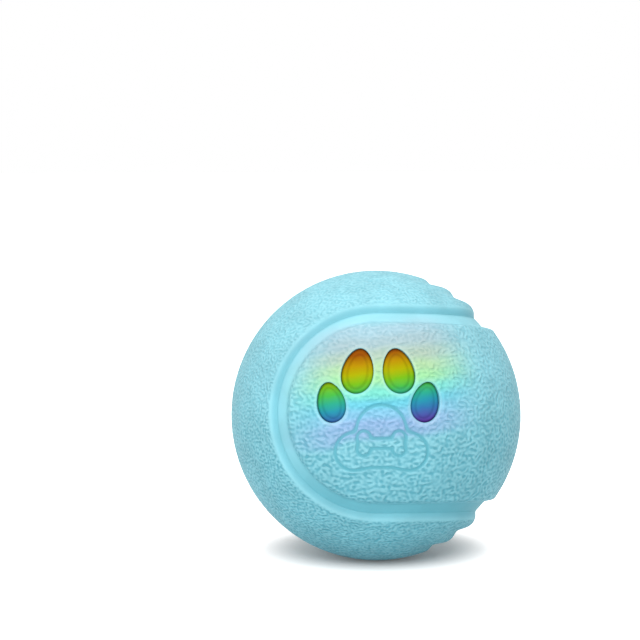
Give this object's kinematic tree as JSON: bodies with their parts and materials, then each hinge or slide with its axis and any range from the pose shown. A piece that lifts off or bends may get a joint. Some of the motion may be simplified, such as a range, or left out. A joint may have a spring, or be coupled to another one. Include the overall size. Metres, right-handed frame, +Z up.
{
  "type": "interactive dog ball",
  "caption": "Self-rolling dog ball: two interlocking rubber cover panels on a hard core, lit toe windows, a motor-driven swinging weight, and a rear button and charging socket.",
  "frame": {"origin": "centre of the ball", "axes": "+Z up, -Y towards the viewer of the paw, X along the drive shaft; the ball is rolled back 10 degrees about X so that the paw looks slightly upwards"},
  "size_m": [0.08, 0.08, 0.0798],
  "materials": {
    "cover_rubber": "matte",
    "toe_silicone": "gloss",
    "led_body": "satin",
    "bright_steel": "satin",
    "plated_steel": "gloss",
    "core_plastic": "satin",
    "plate_plastic": "satin",
    "seal_silicone": "matte",
    "board_laminate": "satin",
    "chassis_plastic": "satin",
    "brass": "satin",
    "gear_nylon": "satin",
    "cast_weight": "satin",
    "battery_foil": "satin",
    "button_silicone": "satin",
    "flap_silicone": "matte"
  },
  "bodies": {
    "ball": {"paw_panel": "cover_rubber", "ridged_panel": "cover_rubber", "front_core_shell": "core_plastic", "rear_core_shell": "core_plastic", "core_seal": "seal_silicone", "core_screw_1": "bright_steel", "core_screw_2": "bright_steel", "core_screw_3": "bright_steel", "core_screw_4": "bright_steel", "toe_lens_1": "toe_silicone", "toe_lens_2": "toe_silicone", "toe_lens_3": "toe_silicone", "toe_lens_4": "toe_silicone", "led_board": "board_laminate", "toe_led_1": "led_body", "toe_led_2": "led_body", "toe_led_3": "led_body", "toe_led_4": "led_body", "led_board_screw_1": "bright_steel", "led_board_screw_2": "bright_steel", "control_plate": "plate_plastic", "power_switch": "plated_steel", "usb_socket": "plated_steel", "control_board": "board_laminate", "control_board_screw_1": "bright_steel", "control_board_screw_2": "bright_steel", "vibration_sensor": "brass", "chassis_frame": "chassis_plastic", "gearbox_cover": "chassis_plastic", "gearbox_screw_1": "bright_steel", "gearbox_screw_2": "bright_steel", "gearbox_screw_3": "bright_steel", "motor": "plated_steel", "compound_gear_pin": "bright_steel", "left_bush": "brass", "right_bush": "brass", "battery_cell": "battery_foil", "battery_holder": "chassis_plastic", "battery_holder_screw_1": "bright_steel", "battery_holder_screw_2": "bright_steel"},
    "weight_body": {"eccentric_weight": "cast_weight", "weight_set_screw": "bright_steel", "main_shaft": "bright_steel", "output_gear": "gear_nylon"},
    "compound_body": {"compound_gear": "gear_nylon"},
    "rotor_body": {"motor_pinion": "brass"},
    "button_body": {"power_button": "button_silicone"},
    "flap_body": {"port_flap": "flap_silicone"}
  },
  "joints": [
    {"name": "weight_spin", "type": "hinge", "parent": "ball", "child": "weight_body", "pos_m": [0, 0, 0], "axis": [1, 0, 0], "continuous": true},
    {"name": "compound_spin", "type": "hinge", "parent": "ball", "child": "compound_body", "pos_m": [0, -0.01295, 0.0087], "axis": [1, 0, 0], "continuous": true},
    {"name": "motor_spin", "type": "hinge", "parent": "ball", "child": "rotor_body", "pos_m": [0, -0.00883, -0.0051], "axis": [1, 0, 0], "continuous": true},
    {"name": "power_button_press", "type": "slide", "parent": "ball", "child": "button_body", "axis": [0, -0.9848, 0.1736], "range_m": [0, 0.0006], "stiffness_N_per_m": 2000},
    {"name": "port_flap_hinge", "type": "hinge", "parent": "ball", "child": "flap_body", "pos_m": [-0.0109, 0.03678, -0.00649], "axis": [0, 0.1736, 0.9848], "range_deg": [0, 110]}
  ],
  "couplings": [
    {"joint": "compound_spin", "follows": "weight_spin", "ratio": -3.3333},
    {"joint": "motor_spin", "follows": "weight_spin", "ratio": 10}
  ]
}
